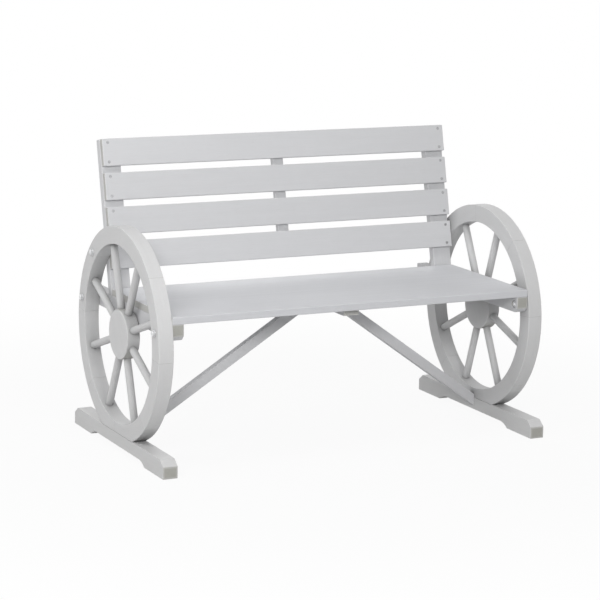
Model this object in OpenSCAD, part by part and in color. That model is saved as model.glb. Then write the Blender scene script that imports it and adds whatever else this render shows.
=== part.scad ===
// Two-seat garden bench with a spoked wheel at each end.
// X runs to the right as seen from the front, Y to the back and Z up.
// The origin is on the ground below the middle of the bench, in line with the wheels' centres.

/* [Overall] */
// Width across the outer faces of the two wheels
bench_w = 1054.1; // [950:0.1:1400]
// Length of each foot, front to back
foot_l = 590.6; // [570:0.1:680]

/* [Feet] */
// Height of a foot
foot_h = 45; // [40:1:55]
// Length of the bevel on each upper end of a foot
foot_bevel_l = 20; // [10:1:30]
// Height of that bevel
foot_bevel_h = 15; // [8:1:20]
// Length of the pad that a foot stands on at either end
foot_pad_l = 118; // [80:1:150]
// Rise of the arch between the two pads
arch_rise = 12.5; // [8:0.5:16]
// Radius that brings the arch down to a pad
arch_r = 60; // [30:1:90]

/* [Wheels] */
// Radius of a wheel at its tread
wheel_r = 267; // [255:1:285]
// Thickness of the rim and of the foot below it, side to side
rim_t = 38.1; // [34:0.1:50]
// Width of the rim, from the tread to its inner edge
rim_w = 44.5; // [40:0.5:52]
// Depth of the flat on which a rim sits on its foot
rim_flat = 19; // [12:1:22]
// Number of spokes in a wheel, and of felloes in its rim
spoke_count = 8; // [6:1:10]
// Diameter of a spoke
spoke_d = 19; // [14:0.5:22]
// Turn of the left wheel from having two spokes evenly beside its lowest point, in degrees
left_turn = 4; // [-5:0.5:5]
// Turn of the right wheel, in degrees
right_turn = -4; // [-5:0.5:5]
// Depth to which a spoke is let into the rim
rim_tenon = 15; // [10:1:18]
// Radius of a hub
hub_r = 62; // [55:1:75]
// Thickness of a hub
hub_t = 34; // [28:1:38]
// Depth to which a spoke is let into the hub
hub_tenon = 22; // [12:1:24]

/* [Seat] */
// Height of the seat's top face above the wheels' centres
seat_rise = 88; // [80:1:100]
// Depth of the seat, front to back
seat_d = 387.4; // [330:0.1:440]
// Thickness of the seat
seat_t = 18; // [14:1:22]
// Width of a rail under a seat end
rail_w = 30; // [24:1:40]
// Height of a rail
rail_h = 40; // [34:1:50]
// Least length of a rail in front of its front bolt
rail_nose_l = 15; // [14:1:40]
// Length of a rail behind its rear bolt
rail_tail_l = 31; // [15:1:50]
// Bevel below the front end of a rail
rail_bevel = 11; // [5:1:15]
// Width of the batten under the middle of the seat
seat_batten_w = 42; // [30:1:60]
// Thickness of that batten
seat_batten_t = 18; // [15:1:24]
// Distance from that batten's ends to the seat's front and rear edges
seat_batten_inset = 28; // [10:1:60]

/* [Back] */
// Lean of the back from upright, in degrees
back_lean = 13; // [8:0.5:15]
// Turn from level to where a post is bolted to the rim, about the wheel's centre, in degrees
post_turn = 46.5; // [45:0.5:47.5]
// Distance up the posts from the seat's underside to the lowest slat
slat_rise = 66; // [45:1:90]
// Number of slats
slat_count = 4; // [2:1:5]
// Height of a slat, along the back
slat_w = 69; // [50:1:85]
// Thickness of a slat
slat_t = 15; // [12:1:20]
// Gap between two slats
slat_gap = 17; // [5:1:25]
// Width of a post, side to side
post_w = 52; // [42:1:65]
// Thickness of a post
post_t = 22; // [20:1:28]
// Width of the centre batten behind the slats
back_batten_w = 30; // [20:1:45]
// Thickness of the centre batten
back_batten_t = 15; // [12:1:20]
// How far the centre batten stops short of the back's upper and lower edges
back_batten_inset = 14; // [5:1:30]

/* [Braces] */
// Width of a brace, square to its slope
brace_w = 25; // [20:1:32]
// Thickness of a brace, front to back
brace_t = 22; // [18:1:30]
// Height of a brace's lower edge at the wheel
brace_low = 23.4; // [18:0.1:28]
// How far a brace's front face is in front of the wheels' centres, at the middle of the bench
brace_front_mid = 68.6; // [40:0.1:120]
// How far it is in front of them at the wheel
brace_front_end = 7; // [-10:0.1:30]

/* [Bolts] */
// Diameter of a wheel bolt
bolt_d = 8; // [6:0.5:10]
// Distance from the tread in to the ring of bolts
bolt_inset = 23; // [18:1:28]
// Height of a bolt's six-sided head
bolt_head_h = 5.3; // [4:0.1:6]
// Length of bolt that stands past its nut
bolt_end = 1.9; // [1:0.1:6]
// Diameter of a washer
washer_d = 17; // [15:0.5:19]
// Thickness of a washer
washer_t = 1.6; // [1:0.1:2.5]
// Width of a bolt's head and of its nut across their flats
nut_w = 13; // [11:0.5:15]
// Height of a nut
nut_h = 6.5; // [5:0.5:8]
// Diameter of the recess for a nut in the side of a rail
recess_d = 20; // [18:0.5:24]
// Depth of that recess
recess_t = 10; // [6:0.5:12]

/* [Screws] */
// Diameter of a screw's head
screw_head_d = 8; // [6:0.5:9]
// Diameter of a screw's shank
screw_d = 3.5; // [3:0.1:5]
// Distance from a slat screw to the end of its slat
slat_screw_end = 15; // [10:1:25]
// Distance from a slat screw to the long edge of its slat
slat_screw_edge = 10; // [7:1:16]
// Depth of a slat screw's head below the face of the slat
slat_screw_sink = 0.6; // [0.2:0.1:2]
// Length of a screw from a rail into the seat
rail_screw_l = 30; // [25:1:45]
// Distance from the end screws of a rail to the ends of its stretch under the seat
rail_screw_inset = 56; // [45:1:80]
// Length of a screw from a foot into its rim
foot_screw_l = 45; // [35:1:50]
// Depth to which that screw goes into the rim
foot_screw_hold = 20; // [12:1:24]
// Distance from the middle of a foot to each of its screws
foot_screw_y = 60; // [50:1:70]
// Length of a brace screw
brace_screw_l = 30; // [25:1:34]

/* [Hidden] */
$fn = 96;

// Room around a spoke, bolt or screw in its hole, on the radius
hole_gap = 0.1;
// Gap between the seat's rear edge and the posts
post_gap = 0.5;
// Gap between a slat's end and the wheel beside it
slat_end_gap = 1;
// Overrun that carries every cut past the surface it leaves
over = 5;
// Height of a screw's head as a share of its diameter
screw_head_share = 0.35;
// Length of a screw's point as a share of its shank's diameter
screw_tip_share = 1.5;
// Depth to which a screw goes into the board that it holds, as a share of that board's thickness
screw_hold_share = 0.65;
// Places of the seat batten's screws as shares of its length
seat_screw_shares = [0.1, 0.5, 0.9];
// Distance of a brace's upper screw from the seat batten, as a share of the brace's width
brace_screw_share = 0.8;
// Depth of a brace's lower screw head in its sloping underside, as a share of the head
brace_sink_share = 0.8;

inner_x = bench_w / 2 - rim_t;
rim_x = inner_x + rim_t / 2;
rim_in = wheel_r - rim_w;
wheel_z = foot_h + wheel_r - rim_flat;
spoke_step = 360 / spoke_count;
// Long axis of a spoke as its inner and outer ends, from the wheel's centre
spoke_from = hub_r - hub_tenon;
spoke_to = rim_in + rim_tenon;

seat_h = wheel_z + seat_rise;
seat_under = seat_h - seat_t;
rail_under = seat_under - rail_h;
rail_mid = seat_under - rail_h / 2;

// All wheel bolts lie on one ring; a post's middle line passes through its bolt
bolt_ring_r = wheel_r - bolt_inset;
rail_bolt_y = sqrt(pow(bolt_ring_r, 2) - pow(rail_mid - wheel_z, 2));
post_bolt_y = bolt_ring_r * cos(post_turn);
post_bolt_z = wheel_z + bolt_ring_r * sin(post_turn);
// Each wheel bolt as its place front to back, its height and the wood that it clamps inside the rim
wheel_bolt_places = [
    [-rail_bolt_y, rail_mid, rail_w - recess_t],
    [rail_bolt_y, rail_mid, rail_w - recess_t],
    [post_bolt_y, post_bolt_z, post_w]
];

// Front face of the posts at the height of the seat's underside, and the seat in front of it
back_y = post_bolt_y - (post_bolt_z - seat_under) * tan(back_lean) - post_t / 2 / cos(back_lean);
seat_back = back_y - post_gap;
seat_front = seat_d - seat_back;
// A rail reaches the seat's front edge, and at least past its own bolt
rail_front = max(seat_front, rail_bolt_y + rail_nose_l);
rail_back = rail_bolt_y + rail_tail_l;
// Distances along the leaning back, from the seat's underside
slat_pitch = slat_w + slat_gap;
back_top = slat_rise + slat_count * slat_pitch - slat_gap;
slat_x = inner_x - slat_end_gap;

seat_hold = seat_t * screw_hold_share;
// Screws share out the stretch where a rail lies under the seat
rail_screw_front = rail_screw_inset - min(seat_front, rail_front);
rail_screw_step = (seat_back - rail_screw_inset - rail_screw_front) / 2;
rail_screw_places = [for (i = [0:2]) rail_screw_front + i * rail_screw_step];
seat_batten_front = seat_batten_inset - seat_front;
seat_batten_l = seat_d - 2 * seat_batten_inset;
seat_screw_places = [for (share = seat_screw_shares) seat_batten_front + seat_batten_l * share];
seat_screw_l = seat_batten_t + seat_hold;
slat_screw_l = slat_t - slat_screw_sink + post_t * screw_hold_share;
back_screw_l = back_batten_t + slat_t * screw_hold_share;

brace_in = brace_front_mid - brace_front_end;
brace_drop = seat_under - brace_low;
brace_plan = sqrt(inner_x * inner_x + brace_in * brace_in);
brace_slope = atan2(brace_drop, brace_plan);
brace_turn = atan2(brace_in, inner_x);
brace_l = sqrt(brace_plan * brace_plan + brace_drop * brace_drop);
// Places of a brace's two screws along its lower front edge, from the middle of the bench
brace_upper_screw = (seat_batten_w / 2 + brace_w * brace_screw_share) / cos(brace_slope) / cos(brace_turn);
brace_lower_screw = (seat_under - (brace_low + foot_h) / 2) / sin(brace_slope);

arch_run = sqrt(arch_r * arch_r - pow(arch_r - arch_rise, 2));
arch_y = foot_l / 2 - foot_pad_l - arch_run;

wood = [0.79, 0.79, 0.81];
steel = [0.72, 0.73, 0.74];
dark_steel = [0.35, 0.35, 0.36];

sides = ["left", "right"];

// Angle of a spoke, from the rear and up
function spoke_angle(turn, i) = (i - 0.5) * spoke_step + turn;

// Places what is drawn for the right side on the given side
module on_side(side) {
    if (side == "left") mirror([1, 0, 0]) children();
    else children();
}

// Places children on both sides
module on_both() {
    for (side = sides) on_side(side) children();
}

// Turns an outline drawn front to back and up into a solid from x1 to x2
module across(x1, x2) {
    translate([x1, 0, 0]) rotate([90, 0, 90]) linear_extrude(x2 - x1) children();
}

// Frame of the leaning back: its Z runs up the front of the posts, from the seat's underside
module on_back() {
    translate([0, back_y, seat_under]) rotate([-back_lean, 0, 0]) children();
}

// Outline of a screw from the rim of its head to its point, with room around it
function screw_outline(length, gap) = [
    [screw_head_d / 2 + gap, 0],
    [screw_d / 2 + gap, screw_head_d * screw_head_share + gap],
    [screw_d / 2 + gap, length - screw_d * screw_tip_share + gap],
    [0, length + gap]
];

// Screw driven along +Z, with the face of its head at zero
module screw(length) {
    rotate_extrude() polygon(concat([[0, 0]], screw_outline(length, 0)));
}

// Room for that screw, with a bore behind it to reach its head
module screw_room(length, reach) {
    mouth = [[0, -reach], [screw_head_d / 2 + hole_gap, -reach]];
    rotate_extrude() polygon(concat(mouth, screw_outline(length, hole_gap)));
}

// Frame of a spoke: its Z runs out from the wheel's centre
module on_spoke(turn, i) {
    translate([rim_x, 0, wheel_z]) rotate([spoke_angle(turn, i), 0, 0]) rotate([-90, 0, 0]) children();
}

// Frame of a wheel bolt: its Z runs out of the wheel's outer face
module on_bolt(place) {
    translate([bench_w / 2, place[0], place[1]]) rotate([0, 90, 0]) children();
}

// Room for a wheel bolt, right through the wood
module bolt_room(place) {
    grip = rim_t + place[2];
    on_bolt(place) translate([0, 0, -grip - over]) cylinder(r = bolt_d / 2 + hole_gap, h = grip + 2 * over);
}

// Frame of a brace: its X runs down its lower front edge, from the middle of the bench
module on_brace() {
    translate([0, -brace_front_mid, seat_under]) rotate([0, brace_slope, brace_turn]) children();
}

// Places of the screws, each with its Z along the way that the screw is driven
module at_slat_screws() {
    for (i = [0:slat_count - 1], z = [slat_screw_edge, slat_w - slat_screw_edge])
        on_both() on_back()
            translate([slat_x - slat_screw_end, slat_screw_sink - slat_t, slat_rise + i * slat_pitch + z])
                rotate([-90, 0, 0]) children();
}

module at_back_screws() {
    for (i = [0:slat_count - 1])
        on_back() translate([0, back_batten_t, slat_rise + i * slat_pitch + slat_w / 2])
            rotate([90, 0, 0]) children();
}

module at_rail_screws() {
    for (y = rail_screw_places)
        on_both() translate([inner_x - rail_w / 2, y, seat_under + seat_hold - rail_screw_l]) children();
}

module at_seat_screws() {
    for (y = seat_screw_places) translate([0, y, seat_under - seat_batten_t]) children();
}

module at_foot_screws() {
    for (y = [-foot_screw_y, foot_screw_y])
        on_both() translate([rim_x, y, foot_h + foot_screw_hold - foot_screw_l]) children();
}

module at_upper_brace_screws() {
    drop = brace_upper_screw * sin(brace_slope);
    on_both() on_brace() translate([brace_upper_screw, brace_t / 2, 0]) rotate([0, -brace_slope, 0])
        translate([0, 0, drop + seat_hold - brace_screw_l]) children();
}

module at_lower_brace_screws() {
    on_both() on_brace() translate([brace_lower_screw, brace_t / 2, 0]) rotate([0, 90 - brace_slope, 0])
        translate([0, 0, screw_head_d * brace_sink_share]) children();
}

// Foot: a bar with bevelled upper ends, on two pads with an arch between them
module foot(side) {
    y = foot_l / 2;
    color(wood) on_side(side) difference() {
        across(inner_x, bench_w / 2) difference() {
            polygon([
                [-y, 0],
                [y, 0],
                [y, foot_h - foot_bevel_h],
                [y - foot_bevel_l, foot_h],
                [foot_bevel_l - y, foot_h],
                [-y, foot_h - foot_bevel_h]
            ]);
            translate([-arch_y, -over]) square([2 * arch_y, arch_rise + over]);
            for (end = [-arch_y, arch_y]) translate([end, arch_rise - arch_r]) circle(arch_r);
        }
        at_foot_screws() screw_room(foot_screw_l, foot_h);
        at_lower_brace_screws() screw_room(brace_screw_l, over);
    }
}

// Felloe: one spoke's share of the rim, flat where it comes down on the foot
module felloe(side, turn, i) {
    middle = spoke_angle(turn, i);
    reach = wheel_r / cos(spoke_step / 2) + over;
    color(wood) on_side(side) difference() {
        across(inner_x, bench_w / 2) translate([0, wheel_z]) difference() {
            circle(wheel_r);
            circle(rim_in);
            rotate(middle + spoke_step / 2) translate([-reach, 0]) square([2 * reach, reach]);
            rotate(middle - spoke_step / 2) translate([-reach, -reach]) square([2 * reach, reach]);
            translate([-reach, -reach]) square([2 * reach, reach - wheel_r + rim_flat]);
        }
        on_spoke(turn, i) translate([0, 0, rim_in - over])
            cylinder(r = spoke_d / 2 + hole_gap, h = rim_tenon + over);
        for (place = wheel_bolt_places) bolt_room(place);
        at_foot_screws() screw_room(foot_screw_l, over);
    }
}

// Spoke: a plain dowel let into the rim and the hub
module spoke(side, turn, i) {
    color(wood) on_side(side) on_spoke(turn, i) translate([0, 0, spoke_from + hole_gap])
        cylinder(d = spoke_d, h = spoke_to - spoke_from - 2 * hole_gap);
}

// Hub: a plain disc with a socket in its edge for each spoke
module hub(side, turn) {
    color(wood) on_side(side) difference() {
        across(rim_x - hub_t / 2, rim_x + hub_t / 2) translate([0, wheel_z]) circle(hub_r);
        for (i = [1:spoke_count]) on_spoke(turn, i) translate([0, 0, spoke_from])
            cylinder(r = spoke_d / 2 + hole_gap, h = hub_tenon + over);
    }
}

// Seat: one glued-up board between the wheels
module seat_panel() {
    color(wood) difference() {
        translate([-inner_x, -seat_front, seat_under]) cube([2 * inner_x, seat_d, seat_t]);
        at_rail_screws() screw_room(rail_screw_l, over);
        at_seat_screws() screw_room(seat_screw_l, over);
        at_upper_brace_screws() screw_room(brace_screw_l, over);
    }
}

// Rail: carries one end of the seat and a post, bolted to the wheel beside it through sunken nuts
module rail(side) {
    color(wood) on_side(side) difference() {
        across(inner_x - rail_w, inner_x) polygon([
            [-rail_front, seat_under],
            [-rail_front, rail_under + rail_bevel],
            [rail_bevel - rail_front, rail_under],
            [rail_back, rail_under],
            [rail_back, seat_under]
        ]);
        for (i = [0, 1]) {
            bolt_room(wheel_bolt_places[i]);
            on_bolt(wheel_bolt_places[i]) translate([0, 0, -rim_t - rail_w - over])
                cylinder(d = recess_d, h = recess_t + over);
        }
        at_rail_screws() screw_room(rail_screw_l, rail_h);
    }
}

// Batten under the middle of the seat
module seat_batten() {
    color(wood) difference() {
        translate([-seat_batten_w / 2, seat_batten_front, seat_under - seat_batten_t])
            cube([seat_batten_w, seat_batten_l, seat_batten_t]);
        at_seat_screws() screw_room(seat_screw_l, over);
    }
}

// Post: leans back behind the seat, standing on a rail and bolted to the rim
module post(side) {
    color(wood) on_side(side) difference() {
        on_back() translate([inner_x - post_w, 0, 0]) cube([post_w, post_t, back_top]);
        translate([inner_x - post_w - over, back_y - over, seat_under - post_t])
            cube([post_w + 2 * over, 2 * post_t + over, post_t]);
        bolt_room(wheel_bolt_places[2]);
        at_slat_screws() screw_room(slat_screw_l, over);
    }
}

// Slat, counted from the lowest
module back_slat(i) {
    color(wood) difference() {
        on_back() translate([-slat_x, -slat_t, slat_rise + (i - 1) * slat_pitch])
            cube([2 * slat_x, slat_t, slat_w]);
        at_slat_screws() screw_room(slat_screw_l, over);
        at_back_screws() screw_room(back_screw_l, over);
    }
}

// Upright batten that ties the slats together at their middles
module back_batten() {
    color(wood) difference() {
        on_back() translate([-back_batten_w / 2, 0, slat_rise + back_batten_inset])
            cube([back_batten_w, back_batten_t, back_top - slat_rise - 2 * back_batten_inset]);
        at_back_screws() screw_room(back_screw_l, over);
    }
}

// Brace: slopes from the foot to the side of the seat batten, cut flat against the seat
module brace(side) {
    color(wood) on_side(side) difference() {
        intersection() {
            on_brace() cube([brace_l + brace_t, brace_t, brace_w]);
            translate([seat_batten_w / 2, -foot_l / 2, 0])
                cube([inner_x - seat_batten_w / 2, foot_l, seat_under]);
        }
        at_upper_brace_screws() screw_room(brace_screw_l, brace_w);
        at_lower_brace_screws() screw_room(brace_screw_l, brace_w);
    }
}

// Bolts whose heads sit on washers on the wheels' outer faces
module wheel_bolts() {
    color(steel) on_both() for (place = wheel_bolt_places) {
        length = rim_t + place[2] + 2 * washer_t + nut_h + bolt_end;
        on_bolt(place) translate([0, 0, washer_t]) {
            cylinder(d = nut_w / cos(30), h = bolt_head_h, $fn = 6);
            translate([0, 0, -length]) cylinder(d = bolt_d, h = length);
        }
    }
}

module wheel_bolt_washers() {
    color(steel) on_both() for (place = wheel_bolt_places, z = [0, -rim_t - place[2] - washer_t])
        on_bolt(place) translate([0, 0, z]) difference() {
            cylinder(d = washer_d, h = washer_t);
            translate([0, 0, -over]) cylinder(r = bolt_d / 2 + hole_gap, h = washer_t + 2 * over);
        }
}

module wheel_bolt_nuts() {
    color(steel) on_both() for (place = wheel_bolt_places)
        on_bolt(place) translate([0, 0, -rim_t - place[2] - washer_t - nut_h]) difference() {
            cylinder(d = nut_w / cos(30), h = nut_h, $fn = 6);
            translate([0, 0, -over]) cylinder(r = bolt_d / 2 + hole_gap, h = nut_h + 2 * over);
        }
}

module slat_screws() {
    color(dark_steel) at_slat_screws() screw(slat_screw_l);
}

module back_batten_screws() {
    color(dark_steel) at_back_screws() screw(back_screw_l);
}

module rail_screws() {
    color(dark_steel) at_rail_screws() screw(rail_screw_l);
}

module seat_batten_screws() {
    color(dark_steel) at_seat_screws() screw(seat_screw_l);
}

module foot_screws() {
    color(dark_steel) at_foot_screws() screw(foot_screw_l);
}

module brace_screws() {
    color(dark_steel) at_upper_brace_screws() screw(brace_screw_l);
    color(dark_steel) at_lower_brace_screws() screw(brace_screw_l);
}

for (i = [1:spoke_count]) {
    felloe("left", left_turn, i);
    felloe("right", right_turn, i);
    spoke("left", left_turn, i);
    spoke("right", right_turn, i);
}
hub("left", left_turn);  // left_hub
hub("right", right_turn);  // right_hub
foot("left");  // left_foot
foot("right");  // right_foot
seat_panel();
rail("left");  // left_rail
rail("right");  // right_rail
seat_batten();
post("left");  // left_post
post("right");  // right_post
for (i = [1:slat_count]) {
    back_slat(i);
}
back_batten();
brace("left");  // left_brace
brace("right");  // right_brace
wheel_bolts();
wheel_bolt_washers();
wheel_bolt_nuts();
slat_screws();
back_batten_screws();
rail_screws();
seat_batten_screws();
foot_screws();
brace_screws();
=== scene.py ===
import math

import bmesh
import bpy
from mathutils import Matrix, Vector


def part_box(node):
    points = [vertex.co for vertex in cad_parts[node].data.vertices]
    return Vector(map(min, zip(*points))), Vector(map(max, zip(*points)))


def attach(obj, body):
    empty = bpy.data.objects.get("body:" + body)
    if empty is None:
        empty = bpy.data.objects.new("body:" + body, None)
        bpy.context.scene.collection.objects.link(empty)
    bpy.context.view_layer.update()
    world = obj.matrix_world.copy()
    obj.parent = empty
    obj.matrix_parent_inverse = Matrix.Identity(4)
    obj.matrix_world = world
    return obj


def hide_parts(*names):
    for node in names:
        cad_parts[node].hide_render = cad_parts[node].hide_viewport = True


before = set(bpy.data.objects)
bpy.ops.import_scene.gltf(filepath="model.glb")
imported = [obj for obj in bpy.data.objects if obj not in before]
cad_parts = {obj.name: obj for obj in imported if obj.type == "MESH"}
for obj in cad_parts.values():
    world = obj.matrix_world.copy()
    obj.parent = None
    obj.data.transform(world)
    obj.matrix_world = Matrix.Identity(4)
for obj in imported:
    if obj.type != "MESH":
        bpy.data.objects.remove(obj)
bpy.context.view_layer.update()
print("frame loaded")

# the camera stands to the left of the bench's front, a little above its back
cameraSet = {
    "place": (-2.564755, -5.151092, 1.476424),
    "yaw": 0.4608,            # to the right of straight ahead
    "pitch": 0.1957,          # downwards
    "roll": 0.0187,
    "focusPixels": 2302.546,
    "centrePixel": (307.576, 302.367),
    "picturePixels": 600,
    "sensorMm": 36,
    "clip": (0.1, 200),
}


def setCamera(s):
    yaw, pitch, roll = s["yaw"], s["pitch"], s["roll"]
    ahead = Vector((math.sin(yaw) * math.cos(pitch), math.cos(yaw) * math.cos(pitch), -math.sin(pitch)))
    right = Vector((math.cos(yaw), -math.sin(yaw), 0))
    up = right.cross(ahead)
    rightR = right * math.cos(roll) + up * math.sin(roll)
    upR = up * math.cos(roll) - right * math.sin(roll)
    data = bpy.data.cameras.new("camera")
    data.sensor_width = s["sensorMm"]
    data.lens = s["focusPixels"] / s["picturePixels"] * s["sensorMm"]
    data.shift_x = (s["picturePixels"] / 2 - s["centrePixel"][0]) / s["picturePixels"]
    data.shift_y = (s["centrePixel"][1] - s["picturePixels"] / 2) / s["picturePixels"]
    data.clip_start, data.clip_end = s["clip"]
    cam = bpy.data.objects.new("camera", data)
    bpy.context.scene.collection.objects.link(cam)
    turn = Matrix((rightR, upR, -ahead)).transposed()
    cam.matrix_world = Matrix.Translation(Vector(s["place"])) @ turn.to_4x4()
    bpy.context.scene.camera = cam


setCamera(cameraSet)
print("camera set")


# Small helpers that wire material nodes together
def addNode(tree, kind, inputs=None, **settings):
    node = tree.nodes.new(kind)
    for key, value in settings.items():
        setattr(node, key, value)
    for key, value in (inputs or {}).items():
        if isinstance(value, bpy.types.NodeSocket):
            tree.links.new(value, node.inputs[key])
        else:
            node.inputs[key].default_value = value
    return node


def mixColour(tree, amount, first, second):
    node = tree.nodes.new("ShaderNodeMix")
    node.data_type = "RGBA"
    for key, value in ((0, amount), (6, first), (7, second)):
        if isinstance(value, bpy.types.NodeSocket):
            tree.links.new(value, node.inputs[key])
        else:
            node.inputs[key].default_value = value if key == 0 else (*value, 1)
    return node.outputs[2]


def maths(tree, how, a, b=0.0, c=0.0):
    return addNode(tree, "ShaderNodeMath", {0: a, 1: b, 2: c}, operation=how).outputs[0]


def noiseAt(tree, place, stretch, detail, rough=0.5, twist=0.0):
    spot = addNode(tree, "ShaderNodeVectorMath", {0: place, 1: stretch}, operation="MULTIPLY").outputs[0]
    return addNode(tree, "ShaderNodeTexNoise", {"Vector": spot, "Scale": 1.0, "Detail": detail,
                                                "Roughness": rough, "Distortion": twist}).outputs[0]


def ramp(tree, value, low, high, toLow=0.0, toHigh=1.0):
    return addNode(tree, "ShaderNodeMapRange", {0: value, 1: low, 2: high, 3: toLow, 4: toHigh},
                   interpolation_type="SMOOTHSTEP").outputs[0]


def newMaterial(name):
    mat = bpy.data.materials.new(name)
    mat.use_nodes = True
    mat.node_tree.nodes.clear()
    tree = mat.node_tree
    surface = tree.nodes.new("ShaderNodeBsdfPrincipled")
    out = tree.nodes.new("ShaderNodeOutputMaterial")
    tree.links.new(surface.outputs[0], out.inputs[0])
    return mat, tree, surface


# How fine each pattern is along, across and through the board, then its detail, roughness and twist
woodGrain = {
    "fibres": ((14, 520, 520), 4, 0.62, 0.15),           # about 2 mm across
    "streaks": ((2.4, 70, 70), 3, 0.55, 0.3),            # growth rings seen through the paint
    "mottle": ((22, 30, 30), 3, 0.6),                    # thicker and thinner paint
    "pores": ((42, 1500, 1500), 2, 0.5),
    "endRings": ((300, 330, 190), 4, 0.65, 0.6),         # crushed pores on sawn ends
    "rubsAndHighlights": ((35, 160, 160), 3, 0.6),                    # where arrises have worn, and where their painted highlight shows
}


# Paint on wood. The mesh carries its own grain: metres along, across and through the board
def paintedWood(name, look):
    mat, tree, surface = newMaterial(name)
    grain = addNode(tree, "ShaderNodeAttribute", attribute_name="grain").outputs["Vector"]
    endGrain, edge, tone, heart = (addNode(tree, "ShaderNodeAttribute", attribute_name=key).outputs["Fac"]
                                   for key in ("endGrain", "edge", "tone", "heart"))
    noise = {key: noiseAt(tree, grain, *values) for key, values in woodGrain.items()}
    pores = ramp(tree, noise["pores"], look["poreFrom"], look["poreFull"])

    side = maths(tree, "MULTIPLY_ADD", noise["fibres"], look["fibre"], 1 - look["fibre"] / 2)
    side = maths(tree, "MULTIPLY_ADD", noise["streaks"], look["streak"],
                 maths(tree, "SUBTRACT", side, look["streak"] / 2))
    side = maths(tree, "MULTIPLY_ADD", pores, -look["pore"], side)
    end = maths(tree, "MULTIPLY_ADD", noise["endRings"], look["endDepth"], 1 - look["endDepth"] / 2)
    both = addNode(tree, "ShaderNodeMix", {0: endGrain, 2: side, 3: end}).outputs[0]
    both = maths(tree, "MULTIPLY_ADD", noise["mottle"], look["mottle"],
                 maths(tree, "SUBTRACT", both, look["mottle"] / 2))
    both = maths(tree, "ADD", both, tone)
    # Painted shade: the paint is darkened where other parts stand near, in corners, recesses and between
    # parts, as ambient occlusion finds them
    if look["paintedShade"]:
        clearOf = addNode(tree, "ShaderNodeAmbientOcclusion", {"Distance": look["paintedShadeReach"]},
                          samples=look["paintedShadeSamples"]).outputs["AO"]
        shade = maths(tree, "MULTIPLY_ADD", clearOf, look["paintedShade"], 1 - look["paintedShade"])
        both = maths(tree, "MULTIPLY", both, shade)

    hearts = maths(tree, "MULTIPLY_ADD", noise["endRings"], look["heartNoise"], heart)
    sawn = mixColour(tree, ramp(tree, hearts, look["heartFrom"], look["heartFull"]),
                     look["endPaint"], look["heartPaint"])
    colour = mixColour(tree, endGrain, look["paint"], sawn)
    # Arrises: partly rubbed paint, partly a painted highlight, lighter along the rounded edges
    rubbedAndHighlit = maths(tree, "MULTIPLY", edge, ramp(tree, noise["rubsAndHighlights"], look["rubAndHighlightFrom"], look["rubAndHighlightFull"]))
    colour = mixColour(tree, maths(tree, "MULTIPLY", rubbedAndHighlit, look["rubAndHighlight"]), colour, look["rubbedPaintAndHighlight"])
    colour = addNode(tree, "ShaderNodeVectorMath", {0: colour, 3: both}, operation="SCALE").outputs[0]
    tree.links.new(colour, surface.inputs["Base Color"])

    rough = maths(tree, "MULTIPLY_ADD", noise["mottle"], look["roughMottle"],
                  look["rough"] - look["roughMottle"] / 2)
    rough = maths(tree, "MULTIPLY_ADD", endGrain, look["roughEnd"], rough)
    tree.links.new(rough, surface.inputs["Roughness"])
    surface.inputs["Specular IOR Level"].default_value = look["shine"]

    height = maths(tree, "MULTIPLY_ADD", noise["fibres"], look["fibreRelief"],
                   maths(tree, "MULTIPLY", noise["streaks"], look["streakRelief"]))
    height = maths(tree, "MULTIPLY_ADD", pores, -look["poreRelief"], height)
    height = addNode(tree, "ShaderNodeMix", {0: endGrain, 2: height, 3: noise["endRings"]}).outputs[0]
    relief = addNode(tree, "ShaderNodeBump", {"Strength": look["reliefStrength"], "Distance": look["relief"],
                                              "Height": height}).outputs[0]
    tree.links.new(relief, surface.inputs["Normal"])
    return mat


# Plated steel, with fine marks from tumbling and a duller film in places
def steel(name, look):
    mat, tree, surface = newMaterial(name)
    spot = addNode(tree, "ShaderNodeTexCoord").outputs["Object"]
    film = noiseAt(tree, spot, *look["film"])
    marks = noiseAt(tree, spot, *look["marks"])
    filmed = ramp(tree, film, look["dullFrom"], look["dullFull"])
    colour = mixColour(tree, filmed, look["bright"], look["dull"])
    tree.links.new(colour, surface.inputs["Base Color"])
    surface.inputs["Metallic"].default_value = look["metal"]
    rough = maths(tree, "MULTIPLY_ADD", film, look["roughFilm"], look["rough"] - look["roughDrop"])
    tree.links.new(rough, surface.inputs["Roughness"])
    relief = addNode(tree, "ShaderNodeBump", {"Strength": look["markStrength"], "Distance": look["markDeep"],
                                              "Height": marks}).outputs[0]
    tree.links.new(relief, surface.inputs["Normal"])
    return mat


woodLook = {
    "paint": (0.600, 0.602, 0.612),
    "endPaint": (0.475, 0.472, 0.452),
    "heartPaint": (0.385, 0.382, 0.352),
    # lighter paint on the arrises: rubbed paint and a painted highlight
    "rubbedPaintAndHighlight": (0.700, 0.697, 0.690),
    "fibre": 0.065, "streak": 0.060, "pore": 0.050, "mottle": 0.030, "endDepth": 0.26,  # how much each shows
    "poreFrom": 0.60, "poreFull": 0.70, "heartNoise": 0.5, "heartFrom": 0.35, "heartFull": 1.2,
    "rubAndHighlight": 0.35, "rubAndHighlightFrom": 0.42, "rubAndHighlightFull": 0.66,
    "rough": 0.58, "roughMottle": 0.16, "roughEnd": 0.12, "shine": 0.35,
    "relief": 0.00022, "reliefStrength": 0.35, "fibreRelief": 0.55, "streakRelief": 0.45, "poreRelief": 0.35,
    "paintedShade": 0.0, "paintedShadeReach": 0.055, "paintedShadeSamples": 8,   # painted shade: how much the paint is darkened in nooks, corners and between parts
}
# the wheels' paint carries painted shade in their nooks
wheelLook = {**woodLook, "paint": (0.608, 0.608, 0.608), "paintedShade": 0.75}
steelLook = {
    "film": ((180, 180, 180), 4, 0.6, 0.4), "marks": ((1400, 1400, 1400), 3, 0.6),       # as in woodGrain
    "dullFrom": 0.35, "dullFull": 0.65, "roughFilm": 0.25, "roughDrop": 0.12,
    "markStrength": 0.3, "markDeep": 0.00006,
}
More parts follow.
